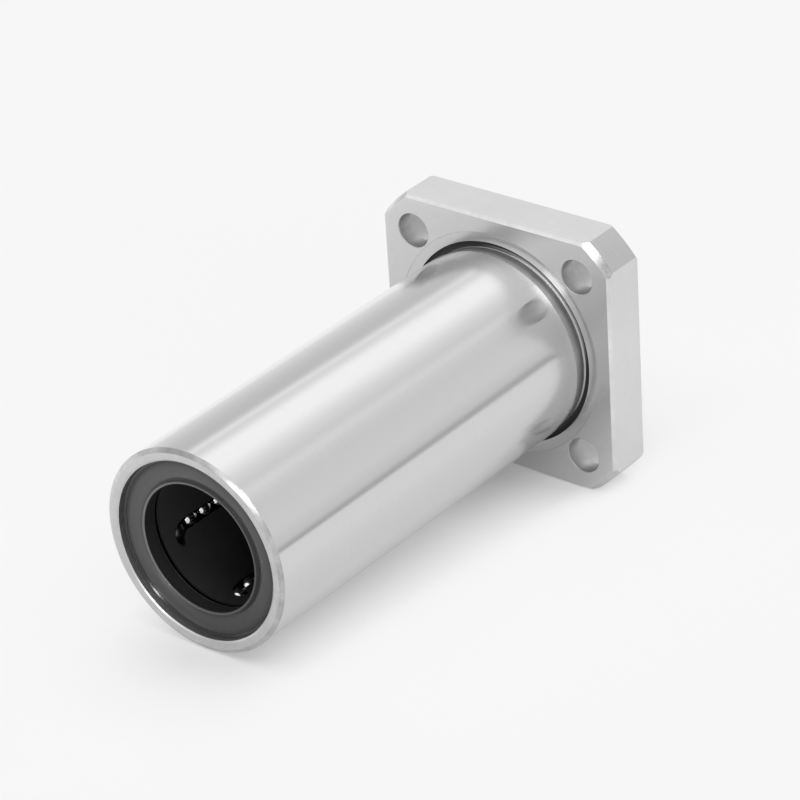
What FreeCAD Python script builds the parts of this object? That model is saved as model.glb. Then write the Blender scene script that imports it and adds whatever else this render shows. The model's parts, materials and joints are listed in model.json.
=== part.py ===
import FreeCAD, Part
import math
import os
from FreeCAD import Vector

# Square flange linear ball bearing, long type with two ball cages, in millimetres.
# The bore runs along Y. The flange seats on Y = 0 and the free end of the tube points to -Y.

# Shaft, balls and circuits
shaft_diameter = 20.0
ball_diameter = 2.778
circuit_count = 5
turn_balls = 2                # balls in each end turn of a circuit
ball_spacing = 0.1            # free gap between the balls in a turn
first_circuit_angle = -90.0   # the first loaded row lies straight down
raceway_clearance = 0.022     # balls to the sleeve's raceway
channel_clearance = 0.08      # balls to the channels of cage and sleeve
turn_recess_lead = 0.4        # raceway kept beyond the straight run
turn_recess_clearance = 0.1   # turn recess beyond the bottom of the return grooves

# Sleeve
overall_length = 80.0
sleeve_wall = 3.2             # from the raceway to the outside
seat_shoulder = 1.2           # step from the raceway up to the seal seat
rim_chamfer = 0.7
mouth_chamfer = 0.25

# Relief at the root of the tube
neck_length = 1.9
neck_depth = 0.45
undercut_width = 1.1
undercut_depth = 0.7
dish_width = 1.3
dish_depth = 0.15

# Flange
flange_thickness = 8.0
flange_ledge = 5.0            # from the tube out to each flat
corner_reach = 6.0            # from the flats out to the turned corners
corner_chamfer = 0.65         # depth on the turned corners, at the seating face
corner_chamfer_length = 1.25
outer_corner_chamfer = 0.75   # on the turned corners, at the outer face
flat_edge_break = 0.25
bolt_ledge = 5.5              # from the tube out to the bolt circle
bolt_count = 4
bolt_hole_diameter = 5.5
counterbore_diameter = 9.0
counterbore_depth = 5.1

# Cages and side rings
cage_bore_clearance = 0.25    # cage to shaft
cage_clearance = 0.15         # cage to raceway
cage_end_wall = 0.8           # least wall beyond a turn
cage_end_play = 0.1
cage_gap = 0.2                # between the two cages
cage_chamfer = 0.3
side_ring_thickness = 0.6
side_ring_clearance = 0.45    # side ring to shaft

# Seals
seal_recess = 1.0             # from the end of the sleeve in to the seal
seal_thickness = 2.7
seat_clearance = 0.02         # seal and side ring to their seat
lip_clearance = 0.03          # lip to shaft
lip_width = 0.5
lip_round = 0.12
lip_land = 0.3
lip_relief = 0.5              # how far the bore opens out behind the lip
gutter_width = 0.5
gutter_depth = 0.5
face_dish_width = 1.9
face_dish_depth = 0.3
bead_width = 0.5
bead_chamfer = 0.15
bead_groove = 0.15

# Radii that follow from the shaft outwards
shaft_radius = shaft_diameter / 2
ball_radius = ball_diameter / 2
raceway_radius = shaft_radius + ball_diameter + raceway_clearance
seat_radius = raceway_radius + seat_shoulder
tube_radius = raceway_radius + sleeve_wall
neck_radius = tube_radius - neck_depth
undercut_radius = tube_radius + undercut_width
dish_radius = undercut_radius + dish_width
flat_distance = tube_radius + flange_ledge
blank_radius = flat_distance + corner_reach
bolt_circle_radius = tube_radius + bolt_ledge

# One circuit lies in a plane that touches the pitch circle of its loaded row.
# The balls of a turn stand evenly on a half circle, one pitch of arc apart.
load_radius = shaft_radius + ball_radius
half_step = math.pi / (2 * turn_balls)
turn_radius = (ball_diameter + ball_spacing) / (2 * math.sin(half_step))
ball_pitch = 2 * half_step * turn_radius
row_spacing = 2 * turn_radius
channel_radius = ball_radius + channel_clearance
recess_radius = math.hypot(load_radius, row_spacing) + channel_radius + turn_recess_clearance
turn_reach = turn_radius + channel_radius

# Places along the bore
back_y = flange_thickness
front_y = back_y - overall_length
middle_y = (front_y + back_y) / 2
seat_depth = seal_recess + seal_thickness + side_ring_thickness
cage_length = overall_length / 2 - seat_depth - cage_end_play - cage_gap / 2
row_balls = int((cage_length - 2 * (cage_end_wall + turn_reach)) / ball_pitch)
row_length = row_balls * ball_pitch
cage_offset = (cage_length + cage_gap) / 2
cage_centres = {"front": middle_y - cage_offset, "rear": middle_y + cage_offset}

axis = Vector(0, 1, 0)
origin = Vector(0, 0, 0)
far = overall_length + 2 * blank_radius   # longer than anything it cuts


def turned(edges):
    """A solid of revolution about the bore from a closed outline of edges."""
    return Part.Face(Part.Wire(edges)).revolve(origin, axis, 360)


def lines(points):
    """Straight edges from point to point, each point a radius and a Y."""
    vectors = [Vector(radius, y, 0) for radius, y in points]
    return [Part.makeLine(a, b) for a, b in zip(vectors, vectors[1:])]


def turned_outline(points):
    return turned(lines(points + points[:1]))


def plain_ring(inner, outer, start, end):
    return turned_outline([(inner, start), (outer, start), (outer, end), (inner, end)])


def around_bore(shape, angle):
    """A copy turned about the bore, from +X towards +Z."""
    turned_copy = shape.copy()
    turned_copy.rotate(origin, axis, -angle)
    return turned_copy


def circuit_angles():
    return [first_circuit_angle + k * 360 / circuit_count for k in range(circuit_count)]


def flat_cutter():
    """What is milled off above one flat, with the edge breaks at both faces."""
    overrun = flat_edge_break + dish_depth
    low = flat_distance - flat_edge_break - overrun
    section = [
        (-overrun, low),
        (flat_edge_break, flat_distance),
        (back_y - flat_edge_break, flat_distance),
        (back_y + overrun, low),
        (back_y + overrun, far),
        (-overrun, far),
    ]
    wire = Part.makePolygon([Vector(-far, y, z) for y, z in section + section[:1]])
    return Part.Face(wire).extrude(Vector(2 * far, 0, 0))


def bolt_hole():
    hole = Part.makeCylinder(bolt_hole_diameter / 2, flange_thickness, origin, axis)
    head_floor = Vector(0, back_y - counterbore_depth, 0)
    head = Part.makeCylinder(counterbore_diameter / 2, counterbore_depth, head_floor, axis)
    hole = hole.fuse(head)
    hole.translate(Vector(bolt_circle_radius, 0, 0))
    return hole


def turn_ends(centre_y):
    """The two ends of a cage's straight runs, each with its way outwards."""
    return [(centre_y - row_length / 2, -1), (centre_y + row_length / 2, 1)]


def flanged_sleeve():
    body = turned_outline([
        (raceway_radius, front_y + seat_depth),
        (seat_radius, front_y + seat_depth),
        (seat_radius, front_y + mouth_chamfer),
        (seat_radius + mouth_chamfer, front_y),
        (tube_radius - rim_chamfer, front_y),
        (tube_radius, front_y + rim_chamfer),
        (tube_radius, -neck_length),
        (neck_radius, -neck_length + neck_depth),
        (neck_radius, undercut_depth),
        (undercut_radius, undercut_depth),
        (undercut_radius, dish_depth),
        (dish_radius, 0),
        (blank_radius - corner_chamfer, 0),
        (blank_radius, corner_chamfer_length),
        (blank_radius, back_y - outer_corner_chamfer),
        (blank_radius - outer_corner_chamfer, back_y),
        (seat_radius + mouth_chamfer, back_y),
        (seat_radius, back_y - mouth_chamfer),
        (seat_radius, back_y - seat_depth),
        (raceway_radius, back_y - seat_depth),
    ])
    flats = [around_bore(flat_cutter(), 90 * k) for k in range(4)]
    first_bolt_angle = 180 / bolt_count
    holes = [around_bore(bolt_hole(), first_bolt_angle + 360 * k / bolt_count) for k in range(bolt_count)]
    groove = Part.makeCylinder(
        channel_radius, overall_length - 2 * seat_depth,
        Vector(load_radius, front_y + seat_depth, row_spacing), axis)
    grooves = [around_bore(groove, angle) for angle in circuit_angles()]
    recesses = []
    for centre_y in cage_centres.values():
        for end_y, way in turn_ends(centre_y):
            reach = sorted([end_y + way * turn_recess_lead, end_y + way * turn_reach])
            recesses.append(plain_ring(load_radius, recess_radius, *reach))
    return body.cut(flats + holes).cut(grooves).cut(recesses).removeSplitter()


def channel_section(y):
    """Round floor under the balls, straight walls open to the outside."""
    top = raceway_radius
    left = Vector(load_radius, y, -channel_radius)
    floor = Vector(load_radius - channel_radius, y, 0)
    right = Vector(load_radius, y, channel_radius)
    right_top = Vector(top, y, channel_radius)
    left_top = Vector(top, y, -channel_radius)
    edges = [
        Part.Arc(left, floor, right).toShape(),
        Part.makeLine(right, right_top),
        Part.makeLine(right_top, left_top),
        Part.makeLine(left_top, left),
    ]
    return Part.Face(Part.Wire(edges))


def circuit_channel(centre_y):
    """The endless channel of one circuit, with its loaded row at +X."""
    start_y = centre_y - row_length / 2
    loaded_run = channel_section(start_y).extrude(Vector(0, row_length, 0))
    return_run = loaded_run.copy()
    return_run.translate(Vector(0, 0, row_spacing))
    runs = [return_run]
    for end_y, way in turn_ends(centre_y):
        turn_centre = Vector(0, end_y, turn_radius)
        runs.append(channel_section(end_y).revolve(turn_centre, Vector(way, 0, 0), 180))
    return loaded_run.fuse(runs)


def cage(centre_y):
    inner = shaft_radius + cage_bore_clearance
    outer = raceway_radius - cage_clearance
    start = centre_y - cage_length / 2
    end = centre_y + cage_length / 2
    ring = turned_outline([
        (inner, start),
        (outer - cage_chamfer, start),
        (outer, start + cage_chamfer),
        (outer, end - cage_chamfer),
        (outer - cage_chamfer, end),
        (inner, end),
    ])
    channel = circuit_channel(centre_y)
    channels = [around_bore(channel, angle) for angle in circuit_angles()]
    return ring.cut(channels).removeSplitter()


def side_ring(end_y, inward):
    near = end_y + inward * (seal_recess + seal_thickness)
    start, end = sorted([near, near + inward * side_ring_thickness])
    return plain_ring(shaft_radius + side_ring_clearance, seat_radius - seat_clearance, start, end)


def seal(end_y, inward):
    """Rubber ring with a rounded lip, a gutter behind it, a dished face and a beaded rim."""
    lip = shaft_radius + lip_clearance
    lip_back = lip + lip_width
    gutter_end = lip_back + gutter_width
    dish_end = gutter_end + face_dish_width
    outer = seat_radius - seat_clearance
    bead = outer - bead_width

    def at(radius, depth):
        return radius, end_y + inward * (seal_recess + depth)

    def arc(*places):
        return Part.Arc(*[Vector(*at(*place), 0) for place in places]).toShape()

    crest = arc((lip, lip_round), ((lip + lip_back) / 2, 0), (lip_back, lip_round))
    gutter_middle = lip_back + gutter_width / 2
    gutter = arc((lip_back, lip_round), (gutter_middle, gutter_depth), (gutter_end, face_dish_depth))
    rest = lines([
        at(gutter_end, face_dish_depth),
        at(dish_end, 0),
        at(bead - 2 * bead_groove, 0),
        at(bead - bead_groove, bead_groove),
        at(bead, 0),
        at(outer - bead_chamfer, 0),
        at(outer, bead_chamfer),
        at(outer, seal_thickness),
        at(lip + lip_relief, seal_thickness),
        at(lip + lip_relief, lip_round + lip_land + lip_relief),
        at(lip, lip_round + lip_land),
        at(lip, lip_round),
    ])
    return turned([crest, gutter] + rest)


def balls(places):
    """Separate balls at places given as tangential offset and Y beside a loaded row at +X."""
    return Part.makeCompound(
        [Part.makeSphere(ball_radius, Vector(load_radius, y, offset)) for offset, y in places])


def ball_row(centre_y, offset):
    first = centre_y - (row_length - ball_pitch) / 2
    return balls([(offset, first + k * ball_pitch) for k in range(row_balls)])


def ball_turn(end_y, way):
    angles = [half_step * (2 * k + 1) for k in range(turn_balls)]
    return balls([
        (turn_radius * (1 - math.cos(angle)), end_y + way * turn_radius * math.sin(angle))
        for angle in angles])


nodes = {
    "flanged_sleeve": flanged_sleeve(),
    "front_seal": seal(front_y, 1),
    "rear_seal": seal(back_y, -1),
    "front_side_ring": side_ring(front_y, 1),
    "rear_side_ring": side_ring(back_y, -1),
}
for place, centre_y in cage_centres.items():
    nodes[place + "_cage"] = cage(centre_y)
    turn_names = [place + "_turn_near_front", place + "_turn_near_flange"]
    for number, angle in enumerate(circuit_angles(), start=1):
        nodes[f"{place}_loaded_row_{number}"] = around_bore(ball_row(centre_y, 0), angle)
        nodes[f"{place}_return_row_{number}"] = around_bore(ball_row(centre_y, row_spacing), angle)
        for name, (end_y, way) in zip(turn_names, turn_ends(centre_y)):
            nodes[f"{name}_{number}"] = around_bore(ball_turn(end_y, way), angle)

os.makedirs("parts", exist_ok=True)
for name, shape in nodes.items():
    shape.exportStep(f"parts/{name}.step")
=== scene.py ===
import json
import math

import bmesh
import bpy
import numpy as np
from mathutils import Matrix, Vector


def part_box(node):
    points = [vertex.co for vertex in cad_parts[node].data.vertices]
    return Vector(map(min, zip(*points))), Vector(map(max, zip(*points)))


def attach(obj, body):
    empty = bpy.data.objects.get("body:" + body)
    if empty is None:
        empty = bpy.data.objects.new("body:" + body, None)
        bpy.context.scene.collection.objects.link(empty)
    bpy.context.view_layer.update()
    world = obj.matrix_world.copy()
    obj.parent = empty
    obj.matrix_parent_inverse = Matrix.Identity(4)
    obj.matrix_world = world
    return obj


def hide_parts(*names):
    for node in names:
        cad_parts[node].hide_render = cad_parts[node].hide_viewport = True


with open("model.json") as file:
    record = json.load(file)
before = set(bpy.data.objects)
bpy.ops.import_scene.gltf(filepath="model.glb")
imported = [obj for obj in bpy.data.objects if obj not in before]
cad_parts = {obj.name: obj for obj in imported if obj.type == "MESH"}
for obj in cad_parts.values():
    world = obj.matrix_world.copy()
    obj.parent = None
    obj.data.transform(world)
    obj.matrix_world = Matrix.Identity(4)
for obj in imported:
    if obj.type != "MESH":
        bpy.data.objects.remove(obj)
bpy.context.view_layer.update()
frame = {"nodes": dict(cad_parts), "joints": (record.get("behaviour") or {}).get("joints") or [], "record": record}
mm = 0.001

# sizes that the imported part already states
mounts = {mount["name"]: mount["dims"] for mount in frame["record"]["mounts"]}
tubeRadius = mounts["housing_spigot"]["r_mm"] * mm
boltRadius = mounts["bolt_circle"]["pcd_mm"] * mm / 2
holeRadius = mounts["bolt_circle"]["hole_r_mm"] * mm
lipRadius = mounts["shaft_bore"]["r_mm"] * mm
sleeveLow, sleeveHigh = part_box("flanged_sleeve")
frontY, backY = sleeveLow.y, sleeveHigh.y
flatDistance = sleeveHigh.x
turnPlaces = {joint["name"]: joint["pos_m"] for joint in frame["joints"] if joint["type"] == "hinge"}


# geometry helpers

easeSteps = 4                                    # steps of the arc on every eased corner


def easedProfile(corners, rounds):
    # every inner corner becomes a circular arc of its own radius: it starts radius * tan(turn / 2) before
    # the corner, and its normal swings by the turn between the two sides
    corners = np.asarray(corners, float)
    sides = np.diff(corners, axis=0)
    sides /= np.linalg.norm(sides, axis=1)[:, None]
    before, after = sides[:-1], sides[1:]
    cross = before[:, 0] * after[:, 1] - before[:, 1] * after[:, 0]
    turn = np.arctan2(cross, (before * after).sum(axis=1))
    radius = np.broadcast_to(rounds, turn.shape)
    inward = np.stack([-before[:, 1], before[:, 0]], axis=1) * np.sign(turn)[:, None]
    start = corners[1:-1] - before * (radius * np.tan(np.abs(turn) / 2))[:, None]
    centre = start + inward * radius[:, None]
    swing = turn[:, None] * np.linspace(0, 1, easeSteps + 1)
    spoke = -inward[:, None, :] * radius[:, None, None]
    arc = np.stack([
        spoke[..., 0] * np.cos(swing) - spoke[..., 1] * np.sin(swing),
        spoke[..., 0] * np.sin(swing) + spoke[..., 1] * np.cos(swing)], axis=-1)
    rounded = (centre[:, None, :] + arc).reshape(-1, 2)
    return np.concatenate([corners[:1], rounded, corners[-1:]])


def turnedGrid(radius, along, angles):
    # a profile swung about the bore: x = radius * cos(angle), z = radius * sin(angle), y along the bore
    radius = np.broadcast_to(radius, (len(along), len(angles)))
    along = np.broadcast_to(np.asarray(along)[:, None], radius.shape)
    return np.stack([radius * np.cos(angles), along, radius * np.sin(angles)], axis=-1)


def gridQuads(rows, columns, closedRows, closedColumns, first):
    # index of row i and column j is i * columns + j; a closed way joins its last line to its first
    i = np.arange(rows if closedRows else rows - 1)[:, None]
    j = np.arange(columns if closedColumns else columns - 1)[None, :]
    nextRow, nextColumn = (i + 1) % rows, (j + 1) % columns
    quads = np.stack([i * columns + j, i * columns + nextColumn,
                      nextRow * columns + nextColumn, nextRow * columns + j], axis=-1)
    return quads.reshape(-1, 4) + first


def meshPiece(name, surfaces, materials, sharpAngle=30.0, weld=0.001 * mm):
    # surfaces are (grid, closedRows, closedColumns, material index); they are laid end to end and welded
    points, quads, finishes, first = [], [], [], 0
    for grid, closedRows, closedColumns, finish in surfaces:
        faces = gridQuads(grid.shape[0], grid.shape[1], closedRows, closedColumns, first)
        points.append(grid.reshape(-1, 3))
        quads.append(faces)
        finishes.append(np.full(len(faces), finish))
        first += grid.shape[0] * grid.shape[1]
    mesh = bpy.data.meshes.new(name)
    mesh.from_pydata(np.concatenate(points), [], np.concatenate(quads).tolist())
    for material in materials:
        mesh.materials.append(material)
    mesh.polygons.foreach_set("material_index", np.concatenate(finishes).astype(np.int32))
    work = bmesh.new()
    work.from_mesh(mesh)
    bmesh.ops.remove_doubles(work, verts=work.verts, dist=weld)
    bmesh.ops.recalc_face_normals(work, faces=work.faces)
    openEdges = sum(1 for edge in work.edges if not edge.is_manifold)
    work.to_mesh(mesh)
    volume = work.calc_volume(signed=True) / mm ** 3
    work.free()
    mesh.polygons.foreach_set("use_smooth", np.ones(len(mesh.polygons), bool))
    mesh.set_sharp_from_angle(angle=math.radians(sharpAngle))
    piece = bpy.data.objects.new(name, mesh)
    bpy.context.scene.collection.objects.link(piece)
    print(name, len(mesh.polygons), "faces, open edges", openEdges, "volume mm3", round(volume, 1))
    return piece


# shader helpers

def addNode(tree, kind, inputs=None, **settings):
    node = tree.nodes.new(kind)
    for key, value in settings.items():
        setattr(node, key, value)
    for socket, value in (inputs or {}).items():
        if isinstance(value, bpy.types.NodeSocket):
            tree.links.new(value, node.inputs[socket])
        else:
            node.inputs[socket].default_value = value
    return node


def mathNode(tree, operation, *values):
    return addNode(tree, "ShaderNodeMath", dict(enumerate(values)), operation=operation).outputs[0]


def mapRange(tree, value, low, high, toLow=0.0, toHigh=1.0):
    # the stretch from low to high becomes toLow to toHigh, and holds beyond its ends
    return addNode(tree, "ShaderNodeMapRange", {
        "Value": value, "From Min": low, "From Max": high, "To Min": toLow, "To Max": toHigh}).outputs[0]


def noiseNode(tree, vector, scale, detail, roughness=0.5):
    return addNode(tree, "ShaderNodeTexNoise", {
        "Vector": vector, "Scale": scale, "Detail": detail, "Roughness": roughness}).outputs["Fac"]


def mixColour(tree, factor, first, second, blend="MIX"):
    return addNode(tree, "ShaderNodeMix", {"Factor": factor, "A": first, "B": second},
                   data_type="RGBA", blend_type=blend).outputs["Result"]


def greyColour(tree, level):
    return addNode(tree, "ShaderNodeCombineColor", {"Red": level, "Green": level, "Blue": level}).outputs[0]


def greyRamp(tree, value, stops):
    # stops are (position, level), from the lowest position to the highest
    ramp = addNode(tree, "ShaderNodeValToRGB", {0: value})
    elements = ramp.color_ramp.elements
    for position, _ in stops[1:-1]:
        elements.new(position)
    for element, (position, level) in zip(elements, stops):
        element.position = position
        element.color = (level, level, level, 1)
    return ramp.outputs[0]


def leanTowards(tree, angle, degrees):
    # cosine of the angle from one direction about the bore: 1 there, -1 on the far side
    return mathNode(tree, "COSINE", mathNode(tree, "SUBTRACT", angle, math.radians(degrees)))


def newGroup(name, inputs, outputs):
    group = bpy.data.node_groups.new(name, "ShaderNodeTree")
    for label, kind, value in inputs:
        socket = group.interface.new_socket(label, in_out="INPUT", socket_type=kind)
        if value is not None:
            socket.default_value = value
    for label in outputs:
        group.interface.new_socket(label, in_out="OUTPUT", socket_type="NodeSocketFloat")
    return group, group.nodes.new("NodeGroupInput"), group.nodes.new("NodeGroupOutput")


def streakGroup():
    # tool lay: two noises over a stretched vector, fine for the scratches and broad for their bands
    group, entry, leave = newGroup(
        "toolLay", [("Vector", "NodeSocketVector", None), ("Band Scale", "NodeSocketFloat", 0.2)],
        ["Height", "Bands"])
    vector = entry.outputs["Vector"]
    wide = addNode(group, "ShaderNodeVectorMath", {0: vector, "Scale": entry.outputs["Band Scale"]},
                   operation="SCALE").outputs[0]
    fine = noiseNode(group, vector, scale=1.0, detail=3.0, roughness=0.6)
    broad = noiseNode(group, wide, scale=1.0, detail=2.0)
    group.links.new(fine, leave.inputs["Height"])
    group.links.new(broad, leave.inputs["Bands"])
    return group


def ringGroup():
    # distance from the bore, angle about it and place along it, for marks that a lathe leaves on a face
    group, entry, leave = newGroup(
        "ringPlace", [("Vector", "NodeSocketVector", None)], ["Radius", "Angle", "Along"])
    split = addNode(group, "ShaderNodeSeparateXYZ", {0: entry.outputs["Vector"]})
    squares = [mathNode(group, "MULTIPLY", split.outputs[axis], split.outputs[axis]) for axis in ("X", "Z")]
    radius = mathNode(group, "SQRT", mathNode(group, "ADD", *squares))
    angle = mathNode(group, "ARCTAN2", split.outputs["Z"], split.outputs["X"])
    for label, value in (("Radius", radius), ("Angle", angle), ("Along", split.outputs["Y"])):
        group.links.new(value, leave.inputs[label])
    return group


# scales are per metre; a cell holds a speck where its random value is past speckPast
handling = {"smudgeScale": 110.0, "smudgeRange": (0.42, 0.72), "speckScale": 420.0, "speckPast": 0.86}


def handlingGroup():
    # soft smudges and sparse specks of dust that handling leaves on any finish
    group, entry, leave = newGroup(
        "handlingMarks", [("Vector", "NodeSocketVector", None), ("Speck Size", "NodeSocketFloat", 0.16)],
        ["Smudge", "Specks"])
    vector = entry.outputs["Vector"]
    cloud = noiseNode(group, vector, handling["smudgeScale"], detail=5.0, roughness=0.55)
    smudge = mapRange(group, cloud, *handling["smudgeRange"])
    cells = addNode(group, "ShaderNodeTexVoronoi", {
        "Vector": vector, "Scale": handling["speckScale"]}).outputs
    near = mathNode(group, "LESS_THAN", cells["Distance"], entry.outputs["Speck Size"])
    chance = addNode(group, "ShaderNodeSeparateColor", {0: cells["Color"]}).outputs[0]
    rare = mathNode(group, "GREATER_THAN", chance, handling["speckPast"])
    group.links.new(smudge, leave.inputs["Smudge"])
    group.links.new(mathNode(group, "MULTIPLY", near, rare), leave.inputs["Specks"])
    return group


toolLay = streakGroup()
ringPlace = ringGroup()
handlingMarks = handlingGroup()


def placeGroup(tree, group, **inputs):
    # an underscore in an input's name stands for a space
    named = {label.replace("_", " "): value for label, value in inputs.items()}
    return addNode(tree, "ShaderNodeGroup", named, node_tree=group).outputs


def newMaterial(name):
    material = bpy.data.materials.new(name)
    material.use_nodes = True
    tree = material.node_tree
    shader = tree.nodes["Principled BSDF"]
    place = addNode(tree, "ShaderNodeTexCoord").outputs["Object"]
    return material, tree, shader, place


def addBump(tree, shader, height, look):
    bump = addNode(tree, "ShaderNodeBump", {
        "Height": height, "Strength": look["bump"], "Distance": look["bumpDepth"]})
    tree.links.new(bump.outputs[0], shader.inputs["Normal"])


# the stretch of each noise that a finish uses
noiseRange = {"bands": (0.3, 0.7), "height": (0.25, 0.75), "patch": (0.35, 0.65), "skin": (0.3, 0.7)}
patchScale = 520.0


def steelFinish(name, look):
    # bare steel: the lay of its last tool in bump and roughness, smudges that dull it, blotches in its tone
    material, tree, shader, place = newMaterial(name)
    ring = placeGroup(tree, ringPlace, Vector=place)
    source = place
    if look["rings"]:
        source = addNode(tree, "ShaderNodeCombineXYZ", {
            "X": ring["Radius"], "Y": ring["Angle"], "Z": ring["Along"]}).outputs[0]
    stretch = addNode(tree, "ShaderNodeMapping", {"Vector": source, "Scale": look["stretch"]}).outputs[0]
    lay = placeGroup(tree, toolLay, Vector=stretch, Band_Scale=look["bandScale"])
    marks = placeGroup(tree, handlingMarks, Vector=place)
    bands = mapRange(tree, lay["Bands"], *noiseRange["bands"], *look["roughness"])
    dulled = mathNode(tree, "MULTIPLY_ADD", marks["Smudge"], look["smudge"], bands)
    tree.links.new(dulled, shader.inputs["Roughness"])
    level = mapRange(tree, lay["Height"], *noiseRange["height"], *look["tone"])
    patches = [(noiseNode(tree, place, patchScale, detail=4.0, roughness=0.65), look["blotch"])]
    if look["cloud"]:
        # broad soft patches, where the grain of the last pass changes
        scale, share = look["cloud"]
        patches.append((noiseNode(tree, place, scale, detail=2.0), share))
    for noise, share in patches:
        patch = mapRange(tree, noise, *noiseRange["patch"], 1.0 - share, 1.0 + share)
        level = mathNode(tree, "MULTIPLY", level, patch)
    if look["sector"]:
        # painted highlight: full tone round one direction about the bore, down to the last value's share away from
        # it
        middle, inner, outer, low = look["sector"]
        ends = [math.cos(math.radians(degrees)) for degrees in (outer, inner)]
        paintedSheen = mapRange(tree, leanTowards(tree, ring["Angle"], middle), *ends, low, 1.0)
        level = mathNode(tree, "MULTIPLY", level, paintedSheen)
    tree.links.new(greyColour(tree, level), shader.inputs["Base Color"])
    shader.inputs["Metallic"].default_value = 1.0
    if look["spread"]:
        # marks run round the tube, so they spread a reflection along it
        along = addNode(tree, "ShaderNodeCombineXYZ", {"Y": 1.0})
        tree.links.new(along.outputs[0], shader.inputs["Tangent"])
        shader.inputs["Anisotropic"].default_value = look["spread"]
    addBump(tree, shader, lay["Height"], look)
    return material


# stretch: scales per metre along x, y and z, or on ringed marks by radius, angle and place along the bore;
# cloud: scale and share; sector, a painted highlight: middle, half-angles where it starts and stops to fall off,
# share left
plainSteel = {"rings": False, "spread": 0.0, "cloud": None, "sector": None}
turnedSteel = {**plainSteel, "rings": True}
tubeLook = {**plainSteel, "stretch": (140, 9000, 140), "bandScale": 0.05, "roughness": (0.115, 0.13),
            "spread": 1.0, "smudge": 0.01, "tone": (0.68, 0.71), "blotch": 0.0, "bump": 0.1,
            "bumpDepth": 0.004 * mm}
faceLook = {**turnedSteel, "stretch": (7000, 1.2, 60), "bandScale": 0.06, "roughness": (0.2, 0.24),
            "smudge": 0.02, "tone": (0.60, 0.63), "blotch": 0.01, "bump": 0.15, "bumpDepth": 0.006 * mm}
# painted highlight: the dish is brightest round 50 degrees and falls to 0.7 of that past 9 degrees
dishLook = {**faceLook, "tone": (0.9, 0.94), "sector": (50, 3, 9, 0.7)}
flatLook = {**plainSteel, "stretch": (120, 6000, 120), "bandScale": 0.07, "roughness": (0.40, 0.48),
            "smudge": 0.03, "tone": (0.745, 0.765), "blotch": 0.01, "bump": 0.1, "bumpDepth": 0.006 * mm,
            "cloud": (70.0, 0.025)}
rimLook = {**turnedSteel, "stretch": (5200, 5.0, 5200), "bandScale": 0.09, "roughness": (0.2, 0.28),
           "smudge": 0.06, "tone": (0.62, 0.68), "blotch": 0.05, "bump": 0.05, "bumpDepth": 0.008 * mm}
chamferLook = {**rimLook, "stretch": (5200, 6.0, 5200), "roughness": (0.13, 0.2), "smudge": 0.08,
               "tone": (0.5, 0.56), "blotch": 0.14, "bump": 0.25}
cornerLook = {**turnedSteel, "stretch": (60, 3.0, 6000), "bandScale": 0.07, "roughness": (0.3, 0.38),
              "smudge": 0.03, "tone": (0.56, 0.6), "blotch": 0.01, "bump": 0.15, "bumpDepth": 0.006 * mm}
edgeLook = {**plainSteel, "stretch": (900, 900, 900), "bandScale": 0.2, "roughness": (0.14, 0.22),
            "smudge": 0.05, "tone": (0.72, 0.78), "blotch": 0.04, "bump": 0.1, "bumpDepth": 0.006 * mm,
            "cloud": (55.0, 0.1)}
# painted highlight: the fillet's line is bright only round 25 degrees and falls to 0.12 of that past 58
filletLook = {**edgeLook, "roughness": (0.2, 0.28), "tone": (0.4, 0.46), "blotch": 0.05, "bump": 0.2,
              "cloud": None, "sector": (25, 42, 58, 0.12)}
holeLook = {**plainSteel, "stretch": (160, 5200, 160), "bandScale": 0.1, "roughness": (0.3, 0.42),
            "smudge": 0.05, "tone": (0.42, 0.5), "blotch": 0.04, "bump": 0.35, "bumpDepth": 0.01 * mm}
# near-black tone: painted shade in the relief's groove and on the bore's wall
grooveLook = {**holeLook, "stretch": (200, 5200, 200), "roughness": (0.4, 0.5), "smudge": 0.04,
              "tone": (0.035, 0.05), "blotch": 0.05}
# painted reflection round 50 degrees, near-black painted shade away from it
shelfLook = {**grooveLook, "tone": (0.3, 0.38), "sector": (50, 22, 50, 0.14)}
neckLook = {**grooveLook, "roughness": (0.4, 0.48), "smudge": 0.05, "tone": (0.72, 0.8), "bump": 0.3}

# in the order of the sleeve's material slots
sleeveSteels = {
    "tube": steelFinish("groundTubeSteel", tubeLook),
    "rim": steelFinish("turnedRimSteel", rimLook),
    "face": steelFinish("turnedFaceSteel", faceLook),
    "flat": steelFinish("milledFlatSteel", flatLook),
    "hole": steelFinish("drilledHoleSteel", holeLook),
    # near-black steel of the groove and bore: painted shade
    "groove": steelFinish("oiledGrooveSteel", grooveLook),
    "edge": steelFinish("brokenEdgeSteel", edgeLook),
    "neck": steelFinish("turnedNeckSteel", neckLook),
    "chamfer": steelFinish("turnedChamferSteel", chamferLook),
    "corner": steelFinish("turnedCornerSteel", cornerLook),
    # the fillet's painted highlight
    "fillet": steelFinish("wornFilletSteel", filletLook),
    "dish": steelFinish("turnedDishSteel", dishLook),
    "shelf": steelFinish("turnedShelfSteel", shelfLook),
}


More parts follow.
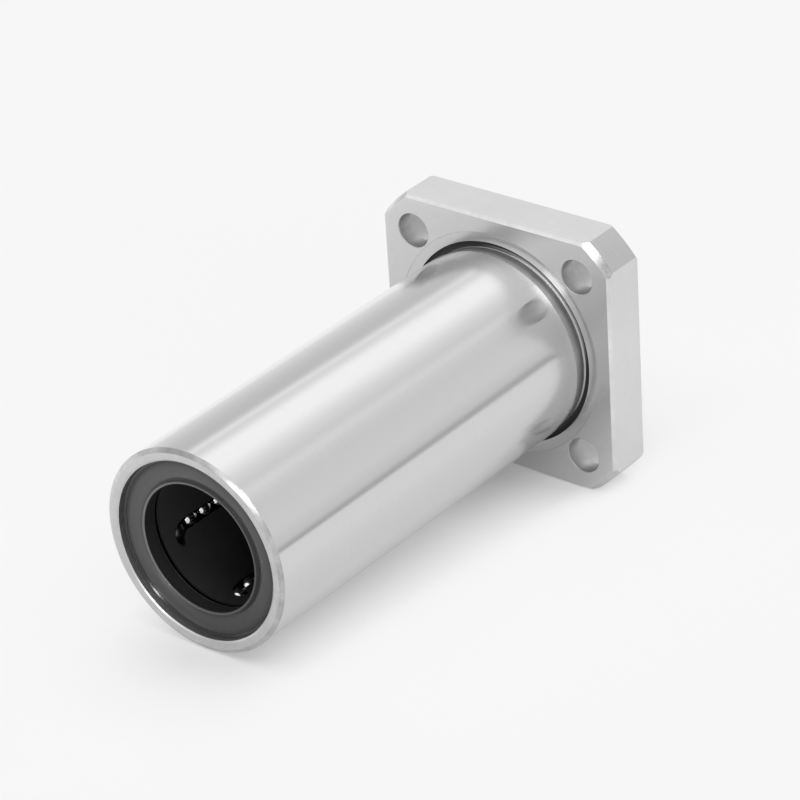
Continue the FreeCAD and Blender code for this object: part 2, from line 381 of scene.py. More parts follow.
def rubberFinish(name, look):
    # moulded rubber: fine pitted skin, cloudy bloom in colour, rare pale specks, tone by radius that paints light
    # and shade
    material, tree, shader, place = newMaterial(name)
    skin = noiseNode(tree, place, look["grain"], detail=4.0)
    marks = placeGroup(tree, handlingMarks, Vector=place, Speck_Size=look["speckSize"])
    bloom = mixColour(tree, marks["Smudge"], look["dark"], look["bloom"])
    dusty = mixColour(tree, marks["Specks"], bloom, look["dust"])
    ring = placeGroup(tree, ringPlace, Vector=place)
    zone = mapRange(tree, ring["Radius"], *look["zone"])
    # painted light and shade: the tone goes by radius
    film = greyRamp(tree, zone, look["tones"])
    for turn, inner, outer in look["film"]:
        # painted light and shade: lighter towards one direction about the bore, by so much inside and outside
        lean = leanTowards(tree, ring["Angle"], turn)
        weight = mathNode(tree, "MULTIPLY_ADD", zone, outer - inner, inner)
        film = mathNode(tree, "MULTIPLY", film, mathNode(tree, "MULTIPLY_ADD", lean, weight, 1.0))
    tree.links.new(mixColour(tree, 1.0, dusty, film, "MULTIPLY"), shader.inputs["Base Color"])
    rough = mapRange(tree, skin, *noiseRange["skin"], *look["roughness"])
    gloss = mathNode(tree, "MULTIPLY", rough, greyRamp(tree, zone, look["gloss"]))
    tree.links.new(gloss, shader.inputs["Roughness"])
    addBump(tree, shader, skin, look)
    shader.inputs["IOR"].default_value = look["ior"]
    return material


# zone: the radii between which tones and gloss run, as (share of the way, factor)
evenZone = {"zone": (10.0 * mm, 14.0 * mm), "tones": [(0.0, 1.0), (1.0, 1.0)],
            "gloss": [(0.0, 1.0), (1.0, 1.0)], "film": [], "bumpDepth": 0.01 * mm}
sealLook = {**evenZone, "grain": 5200.0, "speckSize": 0.05, "dark": (0.066, 0.066, 0.067, 1),
            "bloom": (0.078, 0.078, 0.079, 1), "dust": (0.42, 0.42, 0.42, 1), "roughness": (0.3, 0.38),
            "bump": 0.02, "ior": 1.5,
            "gloss": [(0.0, 0.5), (0.1, 0.6), (0.16, 1.0), (0.86, 1.0), (0.91, 0.4), (1.0, 0.42)],
            # painted light and shade: a light lip, and a darker outer rim and bead
            "tones": [(0.0, 1.7), (0.08, 1.7), (0.12, 1.0), (0.62, 1.0), (0.78, 0.75), (0.86, 0.6),
                      (1.0, 0.6)],
            # painted light and shade on the face: inside lighter towards the left, outside lighter towards the
            # right and the top
            "film": [(180, 0.5, -0.3), (90, 0.1, 0.45)]}
# near-black rubber for the seal's inside: painted shade
insideLook = {**sealLook, **evenZone, "dark": (0.018, 0.018, 0.019, 1), "bloom": (0.022, 0.022, 0.023, 1),
              "dust": (0.04, 0.04, 0.04, 1), "roughness": (0.45, 0.47), "bump": 0.004}
cageLook = {**evenZone, "grain": 2600.0, "speckSize": 0.03, "dark": (0.027, 0.027, 0.029, 1),
            "bloom": (0.034, 0.034, 0.036, 1), "dust": (0.05, 0.05, 0.05, 1), "roughness": (0.34, 0.46),
            "bump": 0.1, "ior": 1.46}
sealRubber = rubberFinish("mouldedSealRubber", sealLook)
sealInside = rubberFinish("oiledSealRubber", insideLook)
cageResin = rubberFinish("blackCageResin", cageLook)

# near-black tone of the washers: painted shade deep in the bore
ringLook = {**turnedSteel, "stretch": (4200, 4.0, 4200), "bandScale": 0.1, "roughness": (0.2, 0.3),
            "smudge": 0.05, "tone": (0.03, 0.045), "blotch": 0.05, "bump": 0.2, "bumpDepth": 0.006 * mm}
ballLook = {**plainSteel, "stretch": (2200, 2200, 2200), "bandScale": 0.2, "roughness": (0.03, 0.06),
            "smudge": 0.02, "tone": (0.7, 0.74), "blotch": 0.0, "bump": 0.02, "bumpDepth": 0.002 * mm}
# dark, rough ball finish: painted shade on the balls of one turn
shadedBallLook = {**ballLook, "roughness": (0.3, 0.4), "tone": (0.09, 0.12)}
ringSteel = steelFinish("punchedRingSteel", ringLook)
ballSteel = steelFinish("polishedBallSteel", ballLook)
shadedTurnBall = steelFinish("greasedBallSteel", shadedBallLook)
print("finishes made:", len(bpy.data.materials), "materials,", len(bpy.data.node_groups), "groups")


# flanged sleeve: tube, relief and raceway swung about the bore, square flange with turned corners around it

sleeve = {
    "turns": 240,                                 # points around, 1.5 degrees apart
    "rimChamfer": 0.7 * mm, "rimLength": 0.45 * mm, "mouthChamfer": 0.28 * mm, "mouthLength": 0.18 * mm,
    "seatRadius": 14.0 * mm, "seatDepth": 4.3 * mm, "racewayRadius": 12.8 * mm,
    "neckLength": 1.9 * mm, "neckDepth": 0.45 * mm, "neckFillet": 0.4 * mm,
    "undercutRadius": 16.75 * mm, "undercutDepth": 0.7 * mm, "shelfRadius": 16.1 * mm,
    "dishRadius": 18.4 * mm, "dishDepth": 0.15 * mm, "dishStep": 0.05 * mm,
    "edgeRound": 0.05 * mm, "rimRound": 0.09 * mm, "stepRound": 0.03 * mm,
    "grooveRadius": 1.469 * mm, "grooveAcross": 4.0701 * mm, "grooveOut": 11.389 * mm,
    "recessRadius": 13.663 * mm, "recessFrom": 0.4 * mm, "recessTo": 3.504 * mm,
    "blankRadius": 27.0 * mm, "cornerChamfer": 0.65 * mm, "cornerChamferLength": 1.25 * mm,
    "outerCornerChamfer": 0.75 * mm, "flatBreak": 0.42 * mm,
    "headRadius": 4.5 * mm, "headDepth": 5.1 * mm, "holeBreak": 0.12 * mm,
    "sideSteps": 12,                              # steps of the turn on each side of a flat's middle
    "flatSteps": 14, "arcSteps": 20, "radialSteps": 7,
    "holeShares": (0, 0.03, 0.35, 0.7, 1.0),      # rows of a face from a hole's rim to the block's edge
}


def racewayRadii(angles, levels):
    # distance from the axis to the bore's wall: the raceway, or deeper in a return groove, whose far side is
    # reach * cos(off) + root of (groove radius squared - (reach * sin(off)) squared), or in a turn recess
    s = sleeve
    reach = math.hypot(s["grooveOut"], s["grooveAcross"])
    lead = math.atan2(s["grooveAcross"], s["grooveOut"])
    rows = [name for name in turnPlaces if name.startswith("front_turn_near_front")]
    places = np.array([turnPlaces[name] for name in rows])
    circuits = np.arctan2(places[:, 2], places[:, 0]) - math.atan2(s["grooveAcross"] / 2, s["grooveOut"])
    off = np.angle(np.exp(1j * (angles[None, :] - (circuits + lead)[:, None])))
    inside = np.maximum(s["grooveRadius"] ** 2 - (reach * np.sin(off)) ** 2, 0)
    nearSide = (inside > 0) & (np.cos(off) > 0)
    groove = np.where(nearSide, reach * np.cos(off) + np.sqrt(inside), 0).max(axis=0)
    wall = np.maximum(groove, s["racewayRadius"])
    return np.where(levels[:, None], np.maximum(wall, s["recessRadius"]), wall)


def sleeveBore(angles):
    # profile in three stretches: outside from the flange to the front seat, raceway, rear seat
    s = sleeve
    neck = tubeRadius - s["neckDepth"]
    outside = easedProfile([
        (s["dishRadius"], 0), (s["dishRadius"] - s["dishStep"], s["dishStep"]),
        (s["undercutRadius"], s["dishDepth"]), (s["undercutRadius"], s["undercutDepth"]),
        (neck, s["undercutDepth"]), (neck, s["neckDepth"] - s["neckLength"]), (tubeRadius, -s["neckLength"]),
        (tubeRadius, frontY + s["rimLength"]), (tubeRadius - s["rimChamfer"], frontY),
        (s["seatRadius"] + s["mouthChamfer"], frontY), (s["seatRadius"], frontY + s["mouthLength"]),
        (s["seatRadius"], frontY + s["seatDepth"])],
        [s["stepRound"], s["edgeRound"], s["edgeRound"], s["neckFillet"], s["edgeRound"], s["edgeRound"],
         s["rimRound"], s["rimRound"], s["rimRound"], s["edgeRound"]])
    rear = easedProfile([
        (s["seatRadius"], backY - s["seatDepth"]), (s["seatRadius"], backY - s["mouthChamfer"]),
        (s["seatRadius"] + s["mouthChamfer"], backY), (s["seatRadius"] + 2 * s["mouthChamfer"], backY)],
        s["edgeRound"])
    along, deep = [frontY + s["seatDepth"]], [False]
    for cage in ("front", "rear"):
        low, high = [turnPlaces[f"{cage}_turn_near_{side}_1_spin"][1] for side in ("front", "flange")]
        for near, far in ((low - s["recessTo"], low - s["recessFrom"]),
                          (high + s["recessFrom"], high + s["recessTo"])):
            along += [near, near, far, far]
            deep += [False, True, True, False]
    along.append(backY - s["seatDepth"])
    deep.append(False)
    return outside, (racewayRadii(angles, np.array(deep)), np.array(along)), rear


def flangeWall(reach, frontDrop, frontLength, backDrop):
    # how far out a wall of the flange stands along Y: chamfered at both faces, its corners eased
    inset = 1.0 * mm                              # stretch of each face that the corners are eased against
    return easedProfile([
        (reach - frontDrop - inset, 0), (reach - frontDrop, 0), (reach, frontLength),
        (reach, backY - backDrop), (reach - backDrop, backY), (reach - backDrop - inset, backY)],
        sleeve["edgeRound"])[1:-1]


def flangeLevels():
    # the flange's outline at each level is a square cut by a circle; both follow their own wall along Y
    s = sleeve
    flat = flangeWall(flatDistance, s["flatBreak"], s["flatBreak"], s["flatBreak"])
    corner = flangeWall(s["blankRadius"], s["cornerChamfer"], s["cornerChamferLength"],
                        s["outerCornerChamfer"])
    levels = np.unique(np.round(np.concatenate([flat[:, 1], corner[:, 1]]), 9))
    return levels, np.interp(levels, flat[:, 1], flat[:, 0]), np.interp(levels, corner[:, 1], corner[:, 0])


def cornerOutline(half, radius):
    # one corner's outline from flat to flat: along the first flat, round the turned corner, along the second
    s = sleeve
    start = math.radians(360 / s["turns"] * s["sideSteps"])
    half, radius = np.atleast_1d(half)[:, None], np.atleast_1d(radius)[:, None]
    meet = np.arccos(half / radius)
    share = np.linspace(0, 1, s["flatSteps"])
    first = half * (math.tan(start) + (np.tan(meet) - math.tan(start)) * share)
    along = np.stack([np.broadcast_to(half, first.shape), first], axis=-1)
    swing = meet + (np.pi / 2 - 2 * meet) * np.linspace(0, 1, s["arcSteps"])[None, 1:-1]
    arc = np.stack([radius * np.cos(swing), radius * np.sin(swing)], axis=-1)
    return np.concatenate([along, arc, along[:, ::-1, ::-1]], axis=1)


def sideOutline(half):
    # the middle of one flat, at the same angles as the tube's points
    s = sleeve
    angles = np.arange(-s["sideSteps"], s["sideSteps"] + 1) * 2 * np.pi / s["turns"]
    half = np.atleast_1d(half)[:, None]
    return np.stack([np.broadcast_to(half, (len(half), len(angles))), half * np.tan(angles)], axis=-1)


def quarterTurn(flat, quarter):
    # x and z turned about the bore by whole quarters
    x, z = flat[..., 0], flat[..., 1]
    for _ in range(quarter):
        x, z = -z, x
    return np.stack([x, z], axis=-1)


def atLevel(flat, y):
    # x and z laid at a place along the bore
    return np.stack([flat[..., 0], np.broadcast_to(y, flat.shape[:-1]), flat[..., 1]], axis=-1)


def radialShares():
    # shares of the way from the inner circle to the outline, closer together at both ends
    inside = np.linspace(0, np.pi, sleeve["radialSteps"])
    return (1 - np.cos(inside)) / 2


def boltBlock(half, radius, inner, hole):
    # face around one bolt hole: straight rays from the hole's circle to the block's edge, which runs round
    # the corner, in along one side, back along the inner circle and out along the other side
    s = sleeve
    step = 2 * np.pi / s["turns"]
    arcAngles = np.arange(s["sideSteps"], s["turns"] // 4 - s["sideSteps"] + 1) * step
    innerArc = inner * np.stack([np.cos(arcAngles), np.sin(arcAngles)], axis=-1)
    outline = cornerOutline(half, radius)[0]
    share = radialShares()[1:-1, None]
    goOut = innerArc[0] + (outline[0] - innerArc[0]) * share
    goIn = innerArc[-1] + (outline[-1] - innerArc[-1]) * share[::-1]
    edge = np.concatenate([outline, goIn, innerArc[::-1], goOut])
    centre = np.array([1.0, 1.0]) * boltRadius / math.sqrt(2)
    ray = edge - centre
    around = np.arctan2(ray[:, 1], ray[:, 0])
    rim = centre + hole * np.stack([np.cos(around), np.sin(around)], axis=-1)
    return rim + (edge - rim) * np.array(s["holeShares"])[:, None, None], around, centre


def sideBlock(half, inner):
    # face between two bolt blocks: straight lines from the inner circle to the flat
    outline = sideOutline(half)[0]
    angles = np.arctan2(outline[:, 1], outline[:, 0])
    innerArc = inner * np.stack([np.cos(angles), np.sin(angles)], axis=-1)
    return innerArc + (outline - innerArc) * radialShares()[:, None, None]


def buildSleeve():
    # turned surfaces about the bore, then for each quarter of the flange its faces, bolt hole and walls
    s = sleeve
    angles = np.arange(s["turns"]) * 2 * np.pi / s["turns"]
    outside, (boreWall, boreAlong), rear = sleeveBore(angles)
    finish = {name: slot for slot, name in enumerate(sleeveSteels)}
    # the outside changes its finish at corners of its profile; each corner has easeSteps + 1 rows
    undercut, foot, tubeStart, rimStart, rimEnd = 1, 3, 5, 6, 7
    corners = np.arange(len(outside) // (easeSteps + 1))
    starts = 1 + corners * (easeSteps + 1)
    # one more row parts the relief's floor before the neck's foot
    outside = np.insert(outside, starts[foot], (s["shelfRadius"], s["undercutDepth"]), axis=0)
    middles = starts + easeSteps // 2 + (corners >= foot)
    cuts = [0, middles[undercut], starts[foot], middles[foot] - 1, middles[foot], middles[tubeStart],
            middles[rimStart], middles[rimEnd], len(outside) - 1]
    surfaces = []
    for low, high, name in zip(cuts, cuts[1:], (
            "dish", "groove", "shelf", "fillet", "neck", "tube", "chamfer", "rim")):
        part = outside[low:high + 1]
        surfaces.append((turnedGrid(part[:, :1], part[:, 1], angles), False, True, finish[name]))
    # the bore's wall starts and ends at the seats
    seatEnd = np.full((1, len(angles)), s["seatRadius"])
    bore = np.concatenate([seatEnd, boreWall, seatEnd])
    boreAlong = np.concatenate([boreAlong[:1], boreAlong, boreAlong[-1:]])
    # the bore's wall takes the near-black groove finish: painted shade
    surfaces.append((turnedGrid(bore, boreAlong, angles), False, True, finish["groove"]))
    surfaces.append((turnedGrid(rear[:, :1], rear[:, 1], angles), False, True, finish["rim"]))
    levels, half, radius = flangeLevels()
    holeEdge, headEdge = holeRadius + s["holeBreak"], s["headRadius"] + s["holeBreak"]
    headFloor = backY - s["headDepth"]
    frontBlock, frontAround, centre = boltBlock(half[0], radius[0], s["dishRadius"], holeEdge)
    backBlock, backAround, _ = boltBlock(half[-1], radius[-1], rear[-1, 0], headEdge)
    frontSide, backSide = sideBlock(half[0], s["dishRadius"]), sideBlock(half[-1], rear[-1, 0])
    lower = easedProfile([(holeEdge, 0), (holeRadius, s["holeBreak"]), (holeRadius, headFloor),
                          (holeRadius + s["holeBreak"], headFloor)], s["edgeRound"])
    upper = easedProfile([(s["headRadius"] - s["holeBreak"], headFloor), (s["headRadius"], headFloor),
                          (s["headRadius"], backY - s["holeBreak"]), (headEdge, backY)], s["edgeRound"])
    drill = np.concatenate([lower, upper])
    around = np.concatenate([np.broadcast_to(frontAround, (len(lower), len(frontAround))),
                             np.broadcast_to(backAround, (len(upper), len(backAround)))])
    drilled = centre + drill[:, :1, None] * np.stack([np.cos(around), np.sin(around)], axis=-1)
    sheets = [(frontBlock, 0.0, True, "face"), (frontSide, 0.0, False, "face"),
              (backBlock, backY, True, "face"), (backSide, backY, False, "face"),
              (drilled, drill[:, 1:], True, "hole")]
    cornerWall = cornerOutline(half, radius)
    bend = s["flatSteps"] - 1                     # column where a flat meets the turned corner
    for wall, edgeEnd, edgeName, wallName in (
            (sideOutline(half), s["flatBreak"], "edge", "flat"),
            (cornerWall[:, :bend + 1], s["flatBreak"], "edge", "flat"),
            (cornerWall[:, bend:-bend], s["cornerChamferLength"], "chamfer", "corner"),
            (cornerWall[:, -bend - 1:], s["flatBreak"], "edge", "flat")):
        cut = int(np.searchsorted(levels, edgeEnd))
        sheets.append((wall[:cut + 1], levels[:cut + 1, None], False, edgeName))
        sheets.append((wall[cut:], levels[cut:, None], False, wallName))
    for quarter in range(4):
        for sheet, y, closed, name in sheets:
            surfaces.append((atLevel(quarterTurn(sheet, quarter), y), False, closed, finish[name]))
    return meshPiece("sleeve_body", surfaces, sleeveSteels.values())


sleeveBody = buildSleeve()
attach(sleeveBody, "sleeve")
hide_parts("flanged_sleeve")


# seals: rubber rings with a rounded lip, a valley behind it, a bulged face and a beaded rim

seal = {
    "turns": 240, "recess": 1.0 * mm, "thickness": 2.7 * mm, "outer": 13.98 * mm,
    "lipDrop": 0.02 * mm, "lipWidth": 0.34 * mm, "lipRound": 0.13 * mm, "lipLand": 0.4 * mm,
    "lipRelief": 0.5 * mm, "valleyWidth": 0.12 * mm, "valleyDepth": 0.5 * mm,
    "crestRadius": 12.3 * mm, "crestSteps": 8, "edgeRadius": 13.58 * mm, "edgeDepth": 0.32 * mm,
    "beadRadius": 13.86 * mm, "beadDepth": 0.16 * mm, "edgeRound": 0.04 * mm, "bowlRound": 0.6 * mm,
}


def sealProfile():
    # corners as (radius, depth from the seal's face, radius that rounds it), lip first; between the valley
    # and the outer edge the face bulges: its depth goes with the square of the way from the crest
    s = seal
    lip, crest, edge = lipRadius, s["crestRadius"], s["edgeRound"]
    lipBack = lip + s["lipWidth"]
    valley = lipBack + s["valleyWidth"]
    back = lip + s["lipRelief"]
    landEnd = s["lipDrop"] + s["lipLand"]
    way = np.linspace(1, 0, s["crestSteps"])
    bowl = np.stack([crest - (crest - valley) * way, s["valleyDepth"] * way ** 2], axis=1)
    fall = np.stack([crest + (s["edgeRadius"] - crest) * way, s["edgeDepth"] * way ** 2], axis=1)
    face = np.concatenate([bowl, fall[-2::-1]])
    smooth = np.full((len(face), 1), s["bowlRound"])
    smooth[[0, -1]] = edge
    inside = [(s["outer"], s["thickness"], edge), (back, s["thickness"], edge),
              (back, landEnd + s["lipRelief"], edge), (lip, landEnd, edge)]
    front = [(lip, s["lipDrop"], s["lipRound"]), (lipBack, s["lipDrop"], edge), *np.hstack([face, smooth]),
             (s["beadRadius"], s["beadDepth"], edge), (s["outer"], s["beadDepth"], edge)]
    rows = np.array([inside[-1], *front, *inside, front[0]])
    profile = easedProfile(rows[:, :2], rows[1:-1, 2])[1:-1]
    return profile, len(front) * (easeSteps + 1)


def ringPiece(name, profile, endY, inward, finishes, turns, parting=None):
    # a closed profile swung about the bore; depth counts inwards from the end of the sleeve, and the rows
    # past the parting have the second finish
    angles = np.arange(turns) * 2 * np.pi / turns
    grid = turnedGrid(profile[:, :1], endY + inward * profile[:, 1], angles)
    surfaces = [(grid, True, True, 0)]
    if parting:
        rest = np.concatenate([grid[parting - 1:], grid[:1]])
        surfaces = [(grid[:parting], False, True, 0), (rest, False, True, 1)]
    return meshPiece(name, surfaces, finishes, sharpAngle=40.0)


# side rings: thin punched washers behind the seals

sideRing = {"turns": 160, "inner": 10.45 * mm, "outer": 13.98 * mm, "thickness": 0.6 * mm,
            "edgeRound": 0.12 * mm}


def sideRingProfile():
    # rectangle from the back of the seal inwards, its corners rounded by the punch
    s = sideRing
    near = seal["recess"] + seal["thickness"]
    far = near + s["thickness"]
    box = np.array([(s["inner"], near), (s["outer"], near), (s["outer"], far), (s["inner"], far)])
    return easedProfile(np.concatenate([box[-1:], box, box[:1]]), s["edgeRound"])[1:-1]


sealShape, sealParting = sealProfile()
sealShape = sealShape + [0, seal["recess"]]
for place, endY, inward in (("front", frontY, 1), ("rear", backY, -1)):
    sealPiece = ringPiece(place + "_seal_ring", sealShape, endY, inward, [sealRubber, sealInside],
                          seal["turns"], sealParting)
    washer = ringPiece(place + "_side_washer", sideRingProfile(), endY, inward, [ringSteel],
                       sideRing["turns"])
    for piece, slot, node in ((sealPiece, "seal_rubber", "_seal"), (washer, "ring_steel", "_side_ring")):
        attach(piece, "sleeve")
        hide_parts(place + node)

# cages and balls keep their CAD shapes and take their finish here
for name, node in frame["nodes"].items():
    if name.endswith("_cage"):
        node.data.materials[0] = cageResin
    elif "_row_" in name:
        node.data.materials[0] = ballSteel
    elif "_turn_" in name:
        # the front turn of circuit 5 in each cage takes the dark finish: painted shade, so those balls show no
        # glint
        node.data.materials[0] = shadedTurnBall if "near_front_5" in name else ballSteel
print("pieces made")


# floor: the tube's rim and the flange's edge both rest on it, so it leans a little in the part's frame

stage = {
    "left": 1.6, "right": 0.25, "front": 1.2, "back": 1.6,      # how far it reaches, in metres
    "under": 0.01 * mm,                           # gap below the part
    # in front of the part it bends over this stretch until it is level
    "bendFrom": -85.0 * mm, "bendReach": 120.0 * mm, "rows": 60,
    # share of the light that the floor throws back, and its own glow beside the tube and further off:
    # to the room, to the camera, to metal
    "room": (0.86, 0.0, 0.0), "camera": (0.66, 0.27, 0.27), "metal": (0.5, 0.29, 0.4),
    "glowFrom": 20.0 * mm, "glowTo": 55.0 * mm,
    # painted reflection: on the left the floor glows brighter, to metal only; from here to there it comes in by
    # this much
    "cardFrom": -50.0 * mm, "cardTo": -80.0 * mm, "card": 0.17,
    # painted light: the floor's shadow is faded on the left; share of the shadow that is left at this x and at the
    # middle
    "fillFrom": -16.0 * mm, "fillTo": 0.0, "shadowLeft": 0.15,
    # and painted light beyond the flange on the right, where the shadow fades too
    "thinFrom": 14.0 * mm, "thinTo": 20.0 * mm, "shadowRight": 0.15,
    # painted shadow where the flange keeps light off the floor before it: the shadow grows by this factor along Y
    "deepFrom": -22.0 * mm, "deepTo": -4.0 * mm, "deepShare": 1.3,
}


def floorMaterial():
    # diffuse for the light it throws back; what the camera and reflections see is lifted to a pale backdrop
    material = bpy.data.materials.new("paleFloor")
    material.use_nodes = True
    tree = material.node_tree
    tree.nodes.clear()
    path = addNode(tree, "ShaderNodeLightPath").outputs
    mirrored = mathNode(tree, "MAXIMUM", path["Is Glossy Ray"], path["Is Transmission Ray"])
    place = addNode(tree, "ShaderNodeTexCoord").outputs["Object"]
    split = addNode(tree, "ShaderNodeSeparateXYZ", {0: place}).outputs
    across = split["X"]
    # painted light and shadow: the floor's shadow is faded on the left and beyond the flange, and deepened before
    # the flange
    left = mapRange(tree, across, stage["fillFrom"], stage["fillTo"], stage["shadowLeft"], 1.0)
    right = mapRange(tree, across, stage["thinFrom"], stage["thinTo"], 1.0, stage["shadowRight"])
    deep = mapRange(tree, split["Y"], stage["deepFrom"], stage["deepTo"], 1.0, stage["deepShare"])
    kept = mathNode(tree, "MULTIPLY", mathNode(tree, "MINIMUM", left, right), deep)
    away = mapRange(tree, mathNode(tree, "ABSOLUTE", across), stage["glowFrom"], stage["glowTo"])
    # painted reflection: a brighter glow on the left that only metal sees
    card = mapRange(tree, across, stage["cardFrom"], stage["cardTo"], 0.0, stage["card"])
    shown = {}
    for viewer in ("room", "camera", "metal"):
        albedo, near, far = stage[viewer]
        shade = mathNode(tree, "MULTIPLY", kept, albedo)
        glow = mathNode(tree, "MULTIPLY_ADD", away, far - near, near + albedo)
        if viewer == "metal":
            glow = mathNode(tree, "ADD", glow, card)
        matte = addNode(tree, "ShaderNodeBsdfDiffuse", {"Color": greyColour(tree, shade)}).outputs[0]
        lift = addNode(tree, "ShaderNodeEmission", {
            "Color": (1, 1, 1, 1), "Strength": mathNode(tree, "SUBTRACT", glow, shade)}).outputs[0]
        shown[viewer] = addNode(tree, "ShaderNodeAddShader", {0: matte, 1: lift}).outputs[0]
    metal = addNode(tree, "ShaderNodeMixShader", {0: mirrored, 1: shown["room"], 2: shown["metal"]})
    seen = addNode(tree, "ShaderNodeMixShader", {
        0: path["Is Camera Ray"], 1: metal.outputs[0], 2: shown["camera"]})
    addNode(tree, "ShaderNodeOutputMaterial", {"Surface": seen.outputs[0]})
    return material


def buildFloor():
    # through the flange's lower edge and the rim's lowest point, where z falls evenly along Y; in front the
    # slope dies away evenly: z is less by the square of the way into the bend, and then level
    restY, restZ = sleeve["flatBreak"], -flatDistance
    rimY, rimZ = frontY + sleeve["rimLength"], -tubeRadius
    slope = (restZ - rimZ) / (restY - rimY)
    x = np.array([-stage["left"], stage["right"]])
    bend = stage["bendFrom"] - stage["bendReach"] * np.linspace(1, 0, stage["rows"])
    y = np.concatenate([[-stage["front"]], bend, [stage["back"]]])
    gridX, gridY = np.meshgrid(x, y)
    past = np.maximum(stage["bendFrom"] - gridY, 0)
    bent = np.minimum(past, stage["bendReach"])
    drop = slope / (2 * stage["bendReach"]) * bent * (2 * past - bent)
    gridZ = restZ + slope * (gridY - restY) + drop - stage["under"]
    mesh = bpy.data.meshes.new("floor")
    mesh.from_pydata(np.stack([gridX, gridY, gridZ], axis=-1).reshape(-1, 3), [],
                     gridQuads(len(y), len(x), False, False, 0).tolist())
    mesh.materials.append(floorMaterial())
    mesh.polygons.foreach_set("use_smooth", np.ones(len(mesh.polygons), bool))
    floor = bpy.data.objects.new("floor", mesh)
    bpy.context.scene.collection.objects.link(floor)


buildFloor()


# light: a tent of panels that run along the tube, told apart by their angle about its axis, and lamps

tent = {
    "backdrop": 0.93,
    # angle about the tube in degrees from the right over the top to the left, and the panel's level
    "panels": [(-180, 0.9), (-5.6, 0.5), (-3.6, 0.5), (-2.4, 0.74), (14, 0.84), (42, 0.81), (52, 0.84),
               (59, 0.91), (68, 0.83), (80, 0.96), (96, 1.25), (114, 1.27), (122, 0.96), (127, 0.88),
               (130.5, 1.25), (134, 0.88), (138, 0.68), (156, 0.74), (180, 0.9)],
    # the same for directions towards the front, which take over as their Y goes from one value to the other
    "frontPanels": [(-180, 0.55), (-150, 0.9), (0, 0.8), (40, 1.0), (60, 1.1), (72, 1.2), (96, 1.27),
                    (112, 1.3), (122, 1.1), (130, 0.92), (140, 0.72), (156, 0.62), (180, 0.55)],
    "frontFrom": -0.48, "frontTo": -0.62,
    # strips that shiny surfaces mirror: name, place, the point each faces, width, length, power, and the
    # pieces it lights if not all
    "strips": [
        ("nearStrip", (0.327, -0.16, 0.503), (0, -0.16, 0), 0.14, 0.24, 0.47, ()),
        ("frontStrip", (0.097, -0.921, 0.276), (0, -0.07, 0), 0.4, 0.1, 0.3, ()),
        ("glintStrip", (-0.05, -0.98, 0.07), (0, -0.07, 0), 0.22, 0.06, 0.85,
         ("front_seal_ring", "rear_seal_ring"))],
    # light for matte surfaces: suns as name, direction, spread in degrees and strength, and a box overhead
    "suns": [("key", (0.34, 0.0, 0.72), 56.0, 1.35), ("side", (0.77, -0.6, 0.18), 50.0, 1.5)],
    "fill": {"height": 3.0, "size": 6.0, "power": 108.0},
}


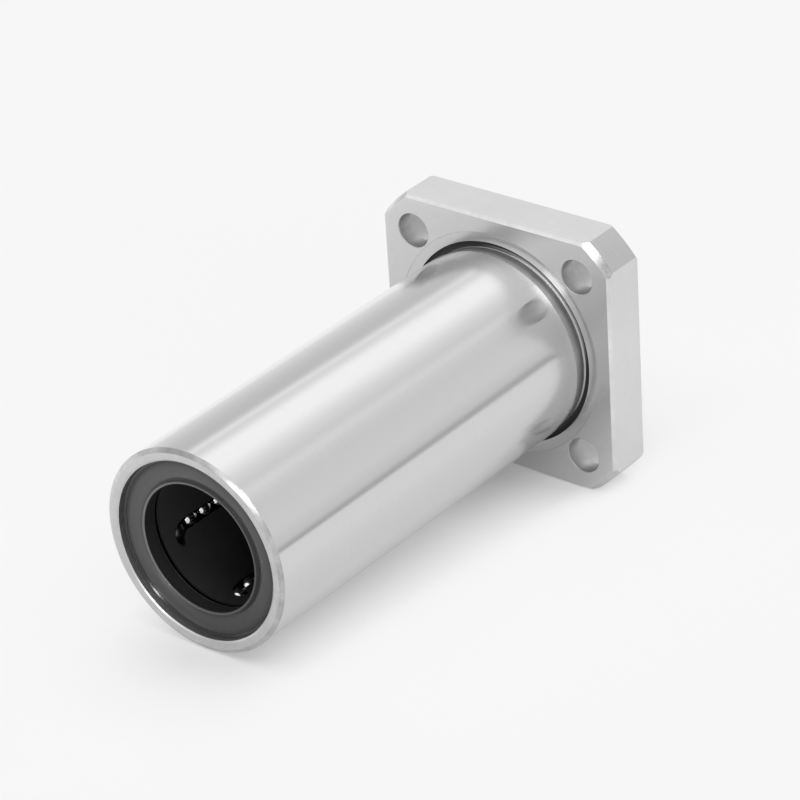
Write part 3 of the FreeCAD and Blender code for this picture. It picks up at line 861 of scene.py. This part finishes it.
def buildWorld():
    # reflections see the panels, the camera sees the plain backdrop, and matte surfaces get nothing from it
    world = bpy.data.worlds.new("lightTent")
    bpy.context.scene.world = world
    world.use_nodes = True
    world.cycles_visibility.diffuse = False
    tree = world.node_tree
    tree.nodes.clear()
    way = addNode(tree, "ShaderNodeTexCoord").outputs["Generated"]
    split = addNode(tree, "ShaderNodeSeparateXYZ", {0: way}).outputs
    angle = mathNode(tree, "ARCTAN2", split["Z"], split["X"])
    share = mathNode(tree, "MULTIPLY_ADD", angle, 0.5 / math.pi, 0.5)
    ramps = [greyRamp(tree, share, [(degrees / 360 + 0.5, level) for degrees, level in tent[key]])
             for key in ("panels", "frontPanels")]
    toFront = mapRange(tree, split["Y"], tent["frontFrom"], tent["frontTo"])
    panels = addNode(tree, "ShaderNodeBackground", {"Color": mixColour(tree, toFront, *ramps)})
    plain = addNode(tree, "ShaderNodeBackground", {"Color": (*[tent["backdrop"]] * 3, 1)})
    seen = addNode(tree, "ShaderNodeLightPath").outputs["Is Camera Ray"]
    mixed = addNode(tree, "ShaderNodeMixShader", {0: seen, 1: panels.outputs[0], 2: plain.outputs[0]})
    addNode(tree, "ShaderNodeOutputWorld", {"Surface": mixed.outputs[0]})


def addHolder(name, data, place, back, up):
    # a lamp or camera looks along its own -Z, and its Y lies along up as far as that allows
    holder = bpy.data.objects.new(name, data)
    back = Vector(back).normalized()
    across = Vector(up).cross(back).normalized()
    turn = Matrix((across, back.cross(across), back)).transposed().to_4x4()
    holder.matrix_world = Matrix.Translation(place) @ turn
    bpy.context.scene.collection.objects.link(holder)
    return holder


def addLamp(name, kind, place, target, **settings):
    lamp = bpy.data.lights.new(name, kind)
    for key, value in settings.items():
        setattr(lamp, key, value)
    return addHolder(name, lamp, place, Vector(place) - Vector(target), up=(0, 1, 0))


def buildLamps():
    # the strips light what is shiny, the suns and the fill what is matte
    for name, place, target, width, length, power, takers in tent["strips"]:
        strip = addLamp(name, "AREA", place, target, shape="RECTANGLE", size=width, size_y=length,
                        energy=power)
        strip.visible_diffuse = False
        if takers:
            strip.light_linking.receiver_collection = bpy.data.collections.new(name + "Takers")
            for piece in takers:
                strip.light_linking.receiver_collection.objects.link(bpy.data.objects[piece])
    fill = tent["fill"]
    soft = [addLamp(name, "SUN", place, (0, 0, 0), angle=math.radians(spread), energy=strength)
            for name, place, spread, strength in tent["suns"]]
    soft.append(addLamp("fill", "AREA", (0, 0, fill["height"]), (0, 0, 0), size=fill["size"],
                        energy=fill["power"]))
    for lamp in soft:
        lamp.visible_glossy = False


buildWorld()
buildLamps()


# camera

view = {
    "place": (0.31245, -0.40564, 0.27411), "look": (-0.55484, 0.67685, -0.48376),
    "up": (-0.2539, 0.41597, 0.87321), "sensor": 36.0, "focal": 171.54, "clip": (0.01, 20.0),
}


def buildCamera():
    camera = bpy.data.cameras.new("camera")
    camera.sensor_width = view["sensor"]
    camera.lens = view["focal"]
    camera.clip_start, camera.clip_end = view["clip"]
    holder = addHolder("camera", camera, view["place"], -Vector(view["look"]), view["up"])
    bpy.context.scene.camera = holder


buildCamera()
bpy.context.scene.view_settings.view_transform = "Standard"
print("stage, light and camera made")
